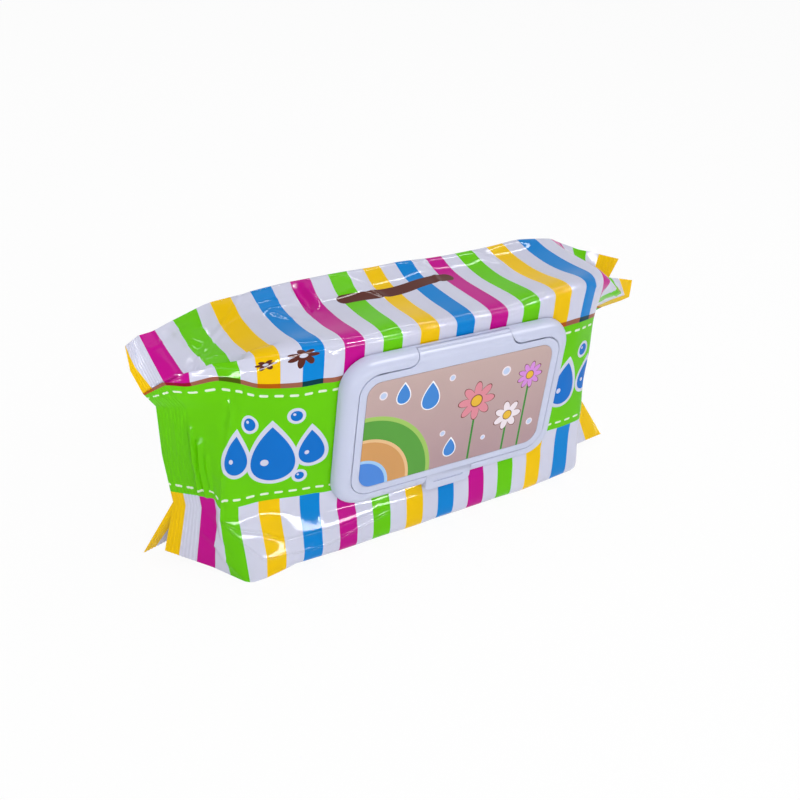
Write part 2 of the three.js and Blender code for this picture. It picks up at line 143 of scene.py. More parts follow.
RIGHT_END = {
    "F_fold_low": [(87.5, -27, 0.3), (91.5, -18, 2), (96.5, -9.3, 2.8), (121, -6.8, 3.1)],
    "F_bulge": [(86.5, -26, 12), (90, -16.5, 13), (94.5, -8, 13.5), (115.5, -2.4, 12)],
    "F_low": [(85.5, -23.5, 27), (88, -15, 27), (92, -7, 27), (109, 3, 23)],
    "F_mid": [(83.5, -23, 50), (86.5, -14, 50), (91, -5, 50), (108, 10, 50)],
    "F_high": [(82, -22, 76), (85.5, -13.5, 76), (90.5, -5, 75), (108, 9, 70)],
    "F_seal": [(82, -21.5, 91), (86, -13.5, 90), (92, -7, 86), (111, 4, 76)],
    "F_crease": [(82.5, -21, 98), (88, -16.6, 99), (94, -10.5, 91), (115, -3.5, 82.5)],
    "F_fold_top": [(84, -19, 109.6), (91, -17, 104.5), (101, -14.5, 94.6), (118, -5.8, 85.2)],
    "T_tuck": [(84.4, -15.5, 109.8), (90.4, -13.5, 105), (99.6, -11.7, 96.4), (118, -5.6, 88.6)],
    "T_front": [(85, -9, 110), (89.5, -7, 105.5), (97, -6.5, 100), (118, -5.1, 94.2)],
    "T_valley": [(85.5, 3, 109), (88.5, 3, 104.5), (93, 3.5, 96), (111.5, 4.5, 78)],
    "T_back": [(85, 14, 109), (90, 13.5, 104), (96, 12, 99), (115, 7.5, 90.5)],
    "B_fold_top": [(84.5, 24.5, 110.5), (91, 22.8, 107), (100, 18.3, 103.3), (120.5, 9, 99)],
    "B_crease": [(86, 26, 98), (91.5, 21.5, 98), (97, 16, 96), (116, 8.5, 91)],
    "B_seal": [(86.5, 26, 91), (92, 20, 91), (96, 12, 89), (111.5, 4.8, 77)],
    "B_high": [(87, 25.5, 76), (92.5, 19.5, 76), (96, 13, 75), (108.3, 9.5, 70)],
    "B_mid": [(87, 25.5, 50), (92.5, 19.5, 50), (96, 13, 50), (108.3, 10.5, 50)],
    "B_low": [(87, 25.5, 27), (92.5, 19.5, 27), (96, 12, 27), (109.3, 3.5, 23)],
    "B_fold_low": [(88, 26, 0.3), (94, 21.5, 1), (100, 17, 1.5), (119, 11.5, 2.5)],
    "D_valley": [(87, 0, 0.3), (91, -1, 5), (95, -2, 12), (109.1, 3.3, 23.5)],
}
# Across a seal, each of these lies on its partner.
SEALED_ON = {
    "B_seal": "F_seal",
    "B_high": "F_high",
    "B_mid": "F_mid",
    "B_low": "F_low",
    "T_valley": "F_seal",
    "D_valley": "F_low",
}
FOLD_SOFTNESS = 2.2       # spread of the folds across the film's length, on the filled body
SEAL_SOFTNESS = 1.2       # the same, on the seals


def body_ring(station):
    """Places of the ring's points at one station of the filled body."""
    x = BODY_STATIONS[station]
    fall, bulge, sag = FRONT_FALL[station], FLOOR_BULGE[station], FILM_SAG[station]
    front, middle, back = TOP_FRONT[station], TOP_MIDDLE[station], TOP_BACK[station]
    front_x, back_x = x + FRONT_PULL[station], x + BACK_PULL[station]
    middle_x = (front_x + back_x) / 2
    low, mid, high, seal, _ = PANEL_HEIGHTS.values()
    rear = half_depth + BACK_BULGE
    face = {part: -half_depth + share * fall for part, share in FALL_SHARES.items()}
    ring = {
        "F_fold_low": (x, -half_depth - bulge, 0),
        "F_bulge": (x, -half_depth - bulge + BULGE_LEAN, BULGE_HEIGHT),
        "F_low": (x, face["low"], low + sag / 2),
        "F_mid": ((x + front_x) / 2, face["mid"], mid),
        "F_high": (front_x, face["high"], high - sag),
        "F_seal": (front_x, face["seal"], seal - sag),
        "F_crease": (front_x, face["crease"], front - TUCK_DEPTH),
        "F_fold_top": (front_x, face["fold_top"], front),
        "T_tuck": (front_x, face["fold_top"] + TUCK_DEPTH, front),
        "T_front": (front_x, TOP_FRONT_LINE, (front + 2 * middle) / 3),
        "T_valley": (middle_x, TOP_VALLEY_LINE, middle),
        "T_back": (middle_x, TOP_BACK_LINE, middle + TOP_BACK_RISE),
        "B_fold_top": (back_x, rear, back),
        "B_fold_low": (x, rear, 0),
        "D_valley": (x, 0, 0),
    }
    for part, height in PANEL_HEIGHTS.items():
        ring["B_" + part] = (x, rear, height)
    return ring


def end_paths(stations, places):
    """An end's stations and places, with one more where its seal starts."""
    flap_station, cut_station = stations[2:]
    seal_station = cut_station - math.copysign(SEAL_WIDTH, cut_station)
    share = (seal_station - flap_station) / (cut_station - flap_station)
    paths = {}
    for name, (shoulder, fold, flap, *bent, cut) in places.items():
        seal = bent[0] if bent else np.array(flap) + share * (np.array(cut) - np.array(flap))
        paths[name] = [shoulder, fold, flap, tuple(seal), cut]
    for name, partner in SEALED_ON.items():
        x, y, z = paths[partner][3]
        paths[name][3] = (x, y + FILM_LAYERS, z)
    return [*stations[:3], seal_station, cut_station], paths


def rails():
    """Each ring point's path along the film: film stations and places, one row per ring point."""
    left_stations, left = end_paths(LEFT_STATIONS, LEFT_END)
    right_stations, right = end_paths(RIGHT_STATIONS, RIGHT_END)
    rings = [body_ring(station) for station in range(len(BODY_STATIONS))]
    paths = []
    for name, _, _ in RING:
        body = [ring[name] for ring in rings]
        paths.append(left[name][::-1] + body + right[name])
    stations = left_stations[::-1] + BODY_STATIONS + right_stations
    return np.array(stations, float), np.array(paths, float)


def softened(values, step, spread):
    """Rows of values along the film, each smoothed by a bell of the given spread, with the ends held."""
    reach = int(4 * spread / step)
    bell = np.exp(-0.5 * (np.arange(-reach, reach + 1) * step / spread) ** 2)
    bell /= bell.sum()
    before = 2 * values[:, :1] - values[:, reach:0:-1]
    after = 2 * values[:, -1:] - values[:, -2:-reach - 2:-1]
    padded = np.concatenate([before, values, after], axis=1)
    return np.array([np.convolve(row, bell, mode="valid") for row in padded])


STEPS_PER_RIB = 5
BODY_ROWS = 288


def film_lengths():
    """Stations of the mesh along the film, close together on the ribbed seals."""
    seal = np.linspace(0, SEAL_WIDTH, round(SEAL_WIDTH / SEAL_RIB_PITCH * STEPS_PER_RIB))
    body = np.linspace(SEAL_WIDTH - LEFT_CUT, RIGHT_CUT - SEAL_WIDTH, BODY_ROWS)[1:-1]
    return np.concatenate([seal - LEFT_CUT, body, RIGHT_CUT - SEAL_WIDTH + seal])


TRACK_STEP = 0.5
CRISP_FROM, CRISP_OVER = 102, 8     # from here on, and within this length, the folds grow crisp


def pouch_grid():
    """Film coordinates of the pouch's points, and their places in mm: stations by ring points by three."""
    stations, paths = rails()
    along = np.arange(-LEFT_CUT, RIGHT_CUT + TRACK_STEP / 2, TRACK_STEP)
    lengths = film_lengths()
    tracks = []
    for axis in range(3):
        straight = np.array([np.interp(along, stations, path[:, axis]) for path in paths])
        soft = softened(straight, TRACK_STEP, FOLD_SOFTNESS)
        crisp = softened(straight, TRACK_STEP, SEAL_SOFTNESS)
        sealed = np.clip((np.abs(along) - CRISP_FROM) / CRISP_OVER, 0, 1)
        mixed = soft + (crisp - soft) * sealed
        tracks.append([np.interp(lengths, along, row) for row in mixed])
    tracks = np.array(tracks).transpose(2, 1, 0)

    girths = []
    keys = np.array([*PLACES.values(), GIRTH], float)
    for start, end, (_, _, steps) in zip(keys, keys[1:], RING):
        girths.append(start + (end - start) * np.arange(steps) / steps)
    girths = np.concatenate(girths)
    closed = np.concatenate([tracks, tracks[:, :1]], axis=1)
    grid = np.empty((len(lengths), len(girths), 3))
    for row in range(len(lengths)):
        for axis in range(3):
            grid[row, :, axis] = np.interp(girths, keys, closed[row, :, axis])
    return lengths, girths, grid


FOLD_RADII = {"F_fold_low": 6, "F_fold_top": 7.5, "B_fold_top": 4, "B_fold_low": 6}
FOLD_REACH = 14
FOLD_SHARE = 0.8          # spread of the rounding, as a share of the radius that it gives
PANEL_SOFTNESS = 3
LEAST_SOFTNESS = 0.35
LEFT_TIGHTENS, RIGHT_TIGHTENS = (74, 26), (84, 34)     # where the folds begin to tighten, and over what run


def rounded_folds(lengths, girths, grid):
    """Rounds the lengthwise folds: wide over the filled body, tight at the seals."""
    into_end = np.zeros(len(lengths))
    for outwards, (start, run) in ((-lengths, LEFT_TIGHTENS), (lengths, RIGHT_TIGHTENS)):
        into_end = np.maximum(into_end, np.clip((outwards - start) / run, 0, 1))
    spread = np.full(len(girths), float(PANEL_SOFTNESS))
    for name, radius in FOLD_RADII.items():
        gap = np.abs(girths - PLACES[name])
        gap = np.minimum(gap, GIRTH - gap)
        near = np.exp(-((gap / FOLD_REACH) ** 2))
        spread = np.maximum(spread, PANEL_SOFTNESS + (FOLD_SHARE * radius - PANEL_SOFTNESS) * near)
    steps = (np.roll(girths, -1) - girths) % GIRTH
    wanted = ((1 - into_end)[:, None] ** 2 * spread[None] + LEAST_SOFTNESS) ** 2 / steps[None] ** 2
    passes = int(wanted.max()) + 1
    share = wanted / passes
    for _ in range(passes):
        mean = (np.roll(grid, 1, axis=1) + np.roll(grid, -1, axis=1)) / 2
        grid = grid + share[..., None] * (mean - grid)
    return grid


lengths, girths, grid = pouch_grid()
grid = rounded_folds(lengths, girths, grid)


def surface_normals(grid):
    """Unit vectors out of the film at the grid's points."""
    along = np.gradient(grid, axis=0)
    around = (np.roll(grid, -1, axis=1) - np.roll(grid, 1, axis=1)) / 2
    normal = np.cross(along, around)
    return normal / np.maximum(np.linalg.norm(normal, axis=2, keepdims=True), 1e-9)


# Creases that handling left in the film: points along and around the film, height outwards, half width.
CREASES = [
    ([(-122.6, 66), (-122, 56), (-121.6, 46), (-122, 36)], 1.9, 1.1),
    ([(-118.6, 60), (-118.6, 46), (-118.4, 34)], 1.7, 1.1),
    ([(-115.2, 54), (-115, 38)], 1.0, 1.1),
    ([(-105.2, 28), (-105.2, 44), (-104, 58), (-102.6, 80)], 0.9, 1.1),
    ([(-96.8, 86), (-100, 73)], -0.6, 1.9),
    ([(-101.8, 80), (-106, 70)], -0.7, 1.8),
    ([(-135.6, 70), (-135.9, 60)], 0.3, 0.9),
    ([(-130, 70), (-130.3, 55)], 0.35, 0.9),
    ([(-114, 118), (-107, 129), (-86.7, 151), (-78.6, 157), (-76, 162)], 0.65, 0.9),
    ([(-110.5, 117), (-103.5, 128), (-84, 149)], 0.4, 0.8),
    ([(-77.6, 154.7), (-69.6, 152.3), (-55.4, 153.5)], 0.5, 1.2),
    ([(-51.4, 158), (-49.5, 149), (-50.5, 143)], -1.7, 2.6),
    ([(-47.5, 156), (-46, 149), (-50, 142)], 0.8, 1.3),
    ([(-54.5, 158), (-53.5, 150), (-51, 142)], 0.6, 1.3),
    ([(-66.5, 146), (-62.5, 139.5)], 0.5, 1.6),
    ([(-110, 158), (-108.5, 150), (-107, 146)], 0.7, 1.8),
    ([(-30, 158), (-22, 150), (-18, 140)], 0.45, 1.4),
    ([(8, 160), (14, 152), (12, 142)], 0.45, 1.4),
    ([(44, 158), (50, 148), (48, 136)], 0.5, 1.5),
    ([(-60, 141), (-55, 138)], -0.4, 1.8),
    ([(-108, 152), (-104, 140), (-103, 132)], -0.8, 2.4),
    ([(-121, 16), (-113, 12), (-105, 7), (-99, 1.5)], 0.8, 1.0),
    ([(-119, 23), (-110, 17), (-104, 13)], -0.6, 1.9),
    ([(-68, 8), (-66, 12)], 0.3, 1.2),
    ([(75, 107), (79, 103), (82, 107)], 0.35, 1.0),
    ([(92, 60), (100, 52), (108, 50)], -0.6, 2.0),
    ([(-92, 205), (-104, 212), (-120, 214)], -0.8, 2.0),
    ([(-90, 250), (-106, 246), (-121, 247)], 0.6, 1.6),
    ([(84, 205), (96, 213), (116, 216)], -0.8, 2.0),
    ([(86, 255), (98, 248), (115, 246)], 0.6, 1.6),
    ([(-40, 186), (-8, 181), (30, 187)], -0.5, 3.0),
]
# Two sharper ones run in from the left corner above the floor.
CORNER_CREASES = [
    ([(-104, 26), (-97, 22.5), (-89.4, 20), (-77.7, 15.8), (-55, 15.8), (-36.5, 17)], 0.2, 1.5),
    ([(-103, 25), (-97, 17), (-89.4, 10.5), (-62.5, 9), (-44.9, 12), (-28, 15)], 0.3, 1.8),
]
GATHERS = 40              # short pleats that run in from each seal
GATHER_GAP = 2
GATHER_MARGIN = 4
GATHER_REACH = (8, 24)
GATHER_DRIFT = (-5, 5)
GATHER_HEIGHT = (0.12, 0.36)
GATHER_HALF_WIDTH = (0.9, 1.8)
RIPPLES = 12              # slack waves of the film
RIPPLE_HEIGHT = 0.07
RIPPLE_LENGTH = (20, 48)
SLACK_TO, SLACK_FADE = 112, 14
LAP_MIDDLE = 222.5        # lengthwise seal down the middle of the back, round the film
LAP_WIDTH = 14
LAP_STEP, LAP_SLOPE = 0.6, 1.2
LAP_TO, LAP_FADE = 105, 10
chance = np.random.default_rng(21)


def ridge(points, height, half_width):
    """Relief of one crease: a bell across the line through its points."""
    nearest = np.full((len(lengths), len(girths)), np.inf)
    place = np.stack(np.meshgrid(lengths, girths, indexing="ij"), axis=2)
    for start, end in zip(np.array(points, float), np.array(points[1:], float)):
        run = end - start
        share = np.clip(((place - start) @ run) / (run @ run), 0, 1)
        gap = np.linalg.norm(place - start - share[..., None] * run, axis=2)
        nearest = np.minimum(nearest, gap)
    return height * np.exp(-(nearest / half_width) ** 2)


relief = np.zeros((len(lengths), len(girths)))
for points, height, half_width in CREASES + CORNER_CREASES:
    relief += ridge(points, height, half_width)
for seal_start, inwards in ((SEAL_WIDTH - LEFT_CUT, 1), (RIGHT_CUT - SEAL_WIDTH, -1)):
    for _ in range(GATHERS):
        girth = chance.uniform(GATHER_MARGIN, GIRTH - GATHER_MARGIN)
        reach = chance.uniform(*GATHER_REACH)
        drift = chance.uniform(*GATHER_DRIFT)
        height = chance.uniform(*GATHER_HEIGHT)
        start = (seal_start + inwards * GATHER_GAP, girth)
        end = (seal_start + inwards * reach, girth + drift)
        relief += ridge([start, end], height, chance.uniform(*GATHER_HALF_WIDTH))
slack = np.clip((SLACK_TO - np.abs(lengths)) / SLACK_FADE, 0, 1)
for _ in range(RIPPLES):
    turn = chance.uniform(0, math.pi)
    wave = chance.uniform(*RIPPLE_LENGTH)
    phase = chance.uniform(0, 2 * math.pi)
    across = math.cos(turn) * lengths[:, None] + math.sin(turn) * girths[None, :]
    relief += RIPPLE_HEIGHT * slack[:, None] * np.sin(2 * math.pi * across / wave + phase)
lap = np.clip((LAP_WIDTH / 2 - np.abs(girths - LAP_MIDDLE)) / LAP_SLOPE + 0.5, 0, 1)
relief += LAP_STEP * lap[None, :] * np.clip((LAP_TO - np.abs(lengths)) / LAP_FADE, 0, 1)[:, None]
grid = grid + relief[..., None] * surface_normals(grid)

# Ribs of the seals, pressed into all layers alike
depth_in_seal = SEAL_WIDTH - np.minimum(lengths + LEFT_CUT, RIGHT_CUT - lengths)
ribs = np.where(depth_in_seal > 0, np.cos(2 * math.pi * depth_in_seal / SEAL_RIB_PITCH) - 1, 0)
grid[:, :, 1] -= SEAL_RIB_HEIGHT * ribs[:, None]

# The film lies flat behind the lid and on the floor
LID_MARGIN = 7            # the flat ground of the lid runs out into the film over this width
lid_low, lid_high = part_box("lid_base")
outside_x = np.maximum(np.abs(grid[..., 0]) - lid_high.x / MM, 0)
outside_z = np.maximum(np.maximum(lid_low.z / MM - grid[..., 2], grid[..., 2] - lid_high.z / MM), 0)
near = np.clip(1 - np.hypot(outside_x, outside_z) / LID_MARGIN, 0, 1)
near = near * near * (3 - 2 * near)
front = girths < PLACES["F_fold_top"]
grid[..., 1] = np.where(front, grid[..., 1] + near * (-half_depth - grid[..., 1]), grid[..., 1])
grid[..., 2] = np.maximum(grid[..., 2], 0)

# Mesh
SHARP_FOLD = 50           # degrees; gentler folds are shaded smooth
stations_count, ring_count = grid.shape[:2]
vertices = (grid.reshape(-1, 3) * MM).tolist()
faces = []
face_uv = []
film_v = np.append(girths, GIRTH)
for row in range(stations_count - 1):
    for column in range(ring_count):
        after = (column + 1) % ring_count
        faces.append((row * ring_count + column, row * ring_count + after,
                      (row + 1) * ring_count + after, (row + 1) * ring_count + column))
        face_uv.append([(lengths[row], film_v[column]), (lengths[row], film_v[column + 1]),
                        (lengths[row + 1], film_v[column + 1]), (lengths[row + 1], film_v[column])])

# Cut edges: the layers are joined front to back, and within each ear
index_of = {}
count = 0
for name, _, steps in RING:
    index_of[name] = count
    count += steps


def strip(first, last, backwards_from):
    """Pairs of ring indices that face each other across the cut edge."""
    steps = index_of[last] - index_of[first]
    return [(index_of[first] + i, (backwards_from - i) % ring_count) for i in range(steps + 1)]


cut_strips = [
    strip("F_low", "F_seal", index_of["B_low"]),
    strip("F_seal", "F_fold_top", index_of["T_valley"]),
    strip("T_valley", "B_fold_top", index_of["B_seal"]),
    strip("B_low", "B_fold_low", index_of["D_valley"]),
]
half_ear = index_of["F_low"]
low_ear = [((index_of["D_valley"] + i) % ring_count, half_ear - i) for i in range(half_ear + 1)]
cut_strips.append(low_ear)
for row in (0, stations_count - 1):
    base = row * ring_count
    caps = []
    for pairs in cut_strips:
        for (a, b), (c, d) in zip(pairs, pairs[1:]):
            corners = list(dict.fromkeys([base + a, base + c, base + d, base + b]))
            caps.append(corners)
    caps.append([base + index_of[n] for n in ("F_seal", "T_valley", "B_seal")])
    caps.append([base + index_of[n] for n in ("F_low", "B_low", "D_valley")])
    for corners in caps:
        if len(corners) < 3:
            continue
        faces.append(tuple(corners))
        face_uv.append([(lengths[row], film_v[corner - base]) for corner in corners])

pouch_mesh = bpy.data.meshes.new("film_pouch_skin")
pouch_mesh.from_pydata(vertices, [], faces)
film_map = pouch_mesh.uv_layers.new(name="film")
film_map.data.foreach_set("uv", np.array([uv for corners in face_uv for uv in corners], np.float32).ravel())
pouch = bpy.data.objects.new("film_pouch_skin", pouch_mesh)
bpy.context.scene.collection.objects.link(pouch)
bpy.context.view_layer.objects.active = pouch
pouch.select_set(True)
bpy.ops.object.mode_set(mode="EDIT")
bpy.ops.mesh.select_all(action="SELECT")
bpy.ops.mesh.normals_make_consistent(inside=False)
bpy.ops.object.mode_set(mode="OBJECT")
bpy.ops.object.shade_smooth_by_angle(angle=math.radians(SHARP_FOLD))
pouch.select_set(False)


def linear(hex_colour):
    """sRGB hex value as linear red, green, blue and alpha."""
    channels = [int(hex_colour[i:i + 2], 16) / 255 for i in (1, 3, 5)]
    return [c / 12.92 if c <= 0.04045 else ((c + 0.055) / 1.055) ** 2.4 for c in channels] + [1.0]


def connect(material, node, inputs):
    """Sets a node's inputs, which are values, sockets, or nodes whose output in use is meant."""
    for key, value in inputs.items():
        if isinstance(value, bpy.types.Node):
            value = next(socket for socket in value.outputs if socket.enabled)
        if isinstance(value, bpy.types.NodeSocket):
            material.node_tree.links.new(value, node.inputs[key])
        else:
            node.inputs[key].default_value = value


def add_node(material, kind, inputs=None, **settings):
    """Adds one node with its settings and its inputs."""
    node = material.node_tree.nodes.new("ShaderNode" + kind)
    for name, value in settings.items():
        setattr(node, name, value)
    connect(material, node, inputs or {})
    return node


def new_material(name):
    """A new material and its shader."""
    material = bpy.data.materials.new(name)
    material.use_nodes = True
    return material, material.node_tree.nodes["Principled BSDF"]


def disc_mask(material, place, middle, radius):
    """Mask of a printed disc."""
    reach = add_node(material, "VectorMath", {0: place, 1: middle}, operation="DISTANCE")
    return add_node(material, "Math", {0: reach, 1: radius}, operation="LESS_THAN")


def drop_mask(material, across, up, middle, lowest, length, outline):
    """Mask of a printed drop and its outline, round at the foot and drawn out to a point."""
    length += OUTLINE_STRETCH * outline
    rise = add_node(material, "Math", {0: up, 1: lowest - outline}, operation="SUBTRACT")
    share = add_node(material, "Math", {0: rise, 1: length}, operation="DIVIDE")
    rounding = add_node(material, "Math", {0: share, 1: 0.0}, operation="MAXIMUM")
    rounding = add_node(material, "Math", {0: rounding}, operation="SQRT")
    taper = add_node(material, "Math", {0: 1.0, 1: share}, operation="SUBTRACT")
    swell = add_node(material, "Math", {0: rounding, 1: taper}, operation="MULTIPLY")
    half = add_node(material, "Math", {0: swell, 1: DROP_FULLNESS * length}, operation="MULTIPLY")
    shift = add_node(material, "Math", {0: across, 1: middle}, operation="SUBTRACT")
    aside = add_node(material, "Math", {0: shift}, operation="ABSOLUTE")
    return add_node(material, "Math", {0: aside, 1: half}, operation="LESS_THAN")


def flower_masks(material, place, middle, up_axis, radius, petals, outlines):
    """Masks of a printed flower, one for each width of outline round its petals."""
    spot = add_node(material, "VectorMath", {0: place, 1: middle}, operation="SUBTRACT")
    reach = add_node(material, "VectorMath", {0: spot}, operation="LENGTH")
    axes = add_node(material, "SeparateXYZ", {0: spot})
    angle = add_node(material, "Math", {0: axes.outputs[up_axis], 1: axes.outputs[0]}, operation="ARCTAN2")
    turn = add_node(material, "Math", {0: angle, 1: petals / 2}, operation="MULTIPLY")
    swing = add_node(material, "Math", {0: turn}, operation="COSINE")
    swing = add_node(material, "Math", {0: swing}, operation="ABSOLUTE")
    masks = []
    for outline in outlines:
        edge = add_node(material, "Math", {0: swing, 1: radius / 2, 2: radius / 2 + outline},
                        operation="MULTIPLY_ADD")
        masks.append(add_node(material, "Math", {0: reach, 1: edge}, operation="LESS_THAN"))
    return masks


def overprint(material, ink, fields):
    """Lays fields of ink over each other, the last on top."""
    for mask, colour in fields:
        ink = add_node(material, "Mix", {0: mask, 6: ink, 7: linear(colour)}, data_type="RGBA")
    return ink


# Print of the film, in mm along and around it: stripes round the sleeve, plain fields at the cut ends, a
# stitched band on the front with drops and bubbles, and a waved bar and two rosettes on the top.
STRIPE_PITCH = 17.35
STRIPE_WIDTH = 8.9
FIRST_STRIPE = -118.4     # middle of the first magenta stripe, along the film
MAGENTA, GREEN, YELLOW, BLUE = "#BE0489", "#64C504", "#EDC000", "#0080CE"
FILM_WHITE = "#CDCEE1"
PRINT_BROWN = "#5A2A22"
DROP_BLUE = "#0A6CC4"
STITCH_WHITE = "#DCE6CC"
LEFT_FIELD = LEFT_CUT - 131.3     # yellow field at the left cut edge
LEFT_FIELD_SKEW = 6.2             # the field narrows by this towards the fold of the back ear
SKEW_RATE = 0.24
RIGHT_FIELD = 13                  # yellow field at the right cut edge
BAND_LOW, BAND_HIGH = 32.8, 89.1  # edges of the green band, round the film
EDGE_LINE = 2.1                   # line along the band's upper edge
EDGE_LINE_TINT = "#BD7352"
STITCH_INSET = 3.5
STITCH_WIDTH = 1.1
STITCH_PITCH = 5.9
STITCH_LENGTH = 3.6
OUTLINE = 1.7             # white outline of the drops
OUTLINE_STRETCH = 3       # an outline lengthens a drop by this many of its widths
BUBBLE_OUTLINE = 0.8      # a bubble's outline, as a share of a drop's
DROP_FULLNESS = 0.85
# Drops by place along, foot and length; bubbles by place along, place around and radius
DROPS = [(-98.5, 48, 18), (-82, 43, 28), (-65.8, 50, 17.5), (66.5, 47, 22), (82.5, 51, 16)]
BUBBLES = [(-92, 72, 3), (-72.5, 76, 2.5), (-71, 44, 2), (76, 74, 3), (92, 62, 2.2)]
# White glints: place aside and up, and radius, as shares of the drop's length or the bubble's radius
DROP_GLINT, BUBBLE_GLINT = (-0.12, 0.34, 0.06), (-0.35, 0.35, 0.24)
BAR_FROM, BAR_TO, BAR_AROUND, BAR_HALF = -35, 18, 144, 3.1     # brown bar on the top
BAR_WAVE, BAR_WAVE_LENGTH = 1.3, 8.5
ROSETTES = [(-70.5, 102, 6.6, 7), (-84.5, 100.8, 4.3, 6)]      # along, around, radius, petals
ROSETTE_HEART = 0.26      # share of the radius

# Printed laminate film: reverse-printed gloss polypropylene over white polyethylene. Smooth and shiny, so it
# draws thin bright lines along its folds; the slack film ripples a little, and the ink is not quite even.
film, film_shader = new_material("gloss_laminate_film")
film_place = add_node(film, "UVMap", uv_map="film")
film_axes = add_node(film, "SeparateXYZ", {0: film_place})
along, around = film_axes.outputs[0], film_axes.outputs[1]

period = 4 * STRIPE_PITCH
first_edge = FIRST_STRIPE - STRIPE_WIDTH / 2
from_first = add_node(film, "Math", {0: along, 1: first_edge}, operation="SUBTRACT")
turns = add_node(film, "Math", {0: from_first, 1: period}, operation="DIVIDE")
turn = add_node(film, "Math", {0: turns}, operation="FRACT")
ink = add_node(film, "ValToRGB", {0: turn})
ramp = ink.color_ramp
ramp.interpolation = "CONSTANT"
ramp.elements[0].color = linear(MAGENTA)
ramp.elements[1].position = STRIPE_WIDTH / period
ramp.elements[1].color = linear(FILM_WHITE)
for number, colour in enumerate((GREEN, YELLOW, BLUE), 1):
    ramp.elements.new(number / 4).color = linear(colour)
    ramp.elements.new(number / 4 + STRIPE_WIDTH / period).color = linear(FILM_WHITE)

fields = []
left_end = add_node(film, "Math", {0: along, 1: LEFT_FIELD - LEFT_CUT}, operation="LESS_THAN")
fields.append((left_end, FILM_WHITE))
to_ear = add_node(film, "Math", {0: around, 1: PLACES["B_fold_top"]}, operation="SUBTRACT")
from_ear = add_node(film, "Math", {0: to_ear}, operation="ABSOLUTE")
skew = add_node(film, "Math", {0: from_ear, 1: -SKEW_RATE, 2: LEFT_FIELD_SKEW}, operation="MULTIPLY_ADD")
skew = add_node(film, "Math", {0: skew, 1: 0.0}, operation="MAXIMUM")
skewed = add_node(film, "Math", {0: along, 1: skew}, operation="ADD")
left_field = add_node(film, "Math", {0: skewed, 1: LEFT_FIELD - LEFT_CUT}, operation="LESS_THAN")
fields.append((left_field, YELLOW))
right_field = add_node(film, "Math", {0: along, 1: RIGHT_CUT - RIGHT_FIELD}, operation="GREATER_THAN")
fields.append((right_field, YELLOW))

# Brown bar on the top, gently waved, with round ends
bar_turn = add_node(film, "Math", {0: along, 1: BAR_WAVE_LENGTH}, operation="DIVIDE")
bar_sine = add_node(film, "Math", {0: bar_turn}, operation="SINE")
bar_line = add_node(film, "Math", {0: bar_sine, 1: BAR_WAVE, 2: BAR_AROUND}, operation="MULTIPLY_ADD")
bar_side = add_node(film, "Math", {0: around, 1: bar_line}, operation="SUBTRACT")
bar_shift = add_node(film, "Math", {0: along, 1: (BAR_FROM + BAR_TO) / 2}, operation="SUBTRACT")
bar_run = add_node(film, "Math", {0: bar_shift}, operation="ABSOLUTE")
bar_over = add_node(film, "Math", {0: bar_run, 1: (BAR_TO - BAR_FROM) / 2}, operation="SUBTRACT")
bar_over = add_node(film, "Math", {0: bar_over, 1: 0.0}, operation="MAXIMUM")
bar_point = add_node(film, "CombineXYZ", {0: bar_over, 1: bar_side})
bar_reach = add_node(film, "VectorMath", {0: bar_point}, operation="LENGTH")
bar = add_node(film, "Math", {0: bar_reach, 1: BAR_HALF}, operation="LESS_THAN")
fields.append((bar, PRINT_BROWN))

# Brown rosettes near the top's front fold
for place_along, place_around, radius, petals in ROSETTES:
    middle = (place_along, place_around, 0)
    [rosette] = flower_masks(film, film_place, middle, 1, radius, petals, [0])
    fields.append((rosette, PRINT_BROWN))
    fields.append((disc_mask(film, film_place, middle, ROSETTE_HEART * radius), FILM_WHITE))

band_middle, band_half = (BAND_LOW + BAND_HIGH) / 2, (BAND_HIGH - BAND_LOW) / 2
to_band = add_node(film, "Math", {0: around, 1: band_middle}, operation="SUBTRACT")
from_band = add_node(film, "Math", {0: to_band}, operation="ABSOLUTE")
band = add_node(film, "Math", {0: from_band, 1: band_half}, operation="LESS_THAN")
fields.append((band, GREEN))
from_row = add_node(film, "Math", {0: from_band, 1: band_half - STITCH_INSET}, operation="SUBTRACT")
off_row = add_node(film, "Math", {0: from_row}, operation="ABSOLUTE")
stitch_turns = add_node(film, "Math", {0: along, 1: STITCH_PITCH}, operation="DIVIDE")
stitch_turn = add_node(film, "Math", {0: stitch_turns}, operation="FRACT")
off_middle = add_node(film, "Math", {0: stitch_turn, 1: 0.5}, operation="SUBTRACT")
off_middle = add_node(film, "Math", {0: off_middle}, operation="ABSOLUTE")
straight_half = (STITCH_LENGTH - STITCH_WIDTH) / 2
past_end = add_node(film, "Math", {0: off_middle, 1: STITCH_PITCH, 2: -straight_half},
                    operation="MULTIPLY_ADD")
past_end = add_node(film, "Math", {0: past_end, 1: 0.0}, operation="MAXIMUM")
stitch_point = add_node(film, "CombineXYZ", {0: past_end, 1: off_row})
stitch_reach = add_node(film, "VectorMath", {0: stitch_point}, operation="LENGTH")
stitches = add_node(film, "Math", {0: stitch_reach, 1: STITCH_WIDTH / 2}, operation="LESS_THAN")
fields.append((stitches, STITCH_WHITE))

